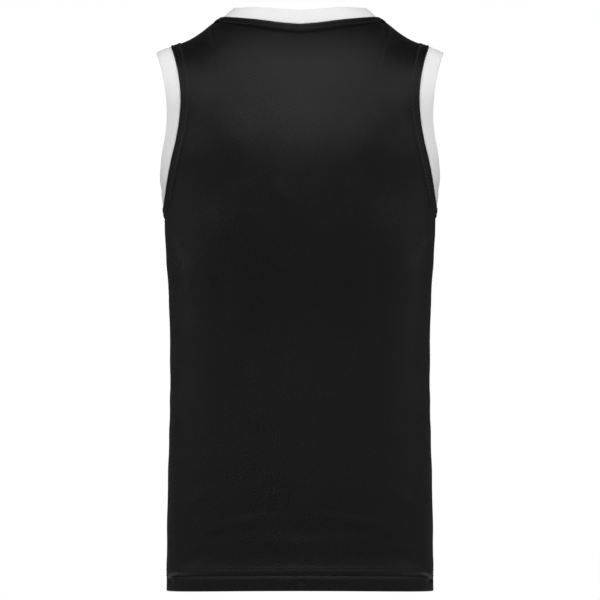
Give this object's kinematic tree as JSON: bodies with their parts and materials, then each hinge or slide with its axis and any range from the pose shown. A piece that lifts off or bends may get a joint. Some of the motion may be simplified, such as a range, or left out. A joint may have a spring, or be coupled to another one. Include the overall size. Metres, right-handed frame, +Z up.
{
  "type": "sleeveless basketball jersey",
  "caption": "Sleeveless sports jersey filled out as if worn, dark knit body with a light doubled band round the neck and each armhole, open at the neck, armholes and hem.",
  "frame": {"origin": "midway between the two shoulder straps, at the height of their undersides, where the wearer's shoulders carry the garment", "axes": "+Z up, the garment's front faces -Y, its back faces +Y, and the wearer's left side is +X"},
  "size_m": [0.3814, 0.25, 0.7743],
  "materials": {
    "body_knit": "near-black polyester knit with a fine diagonal grain and a soft low sheen",
    "band_knit": "plain white interlock knit, folded double, matte"
  },
  "bodies": {
    "root": {"back_panel": "body_knit", "front_panel": "body_knit", "neckband": "band_knit", "armhole_band_left": "band_knit", "armhole_band_right": "band_knit"}
  },
  "joints": []
}
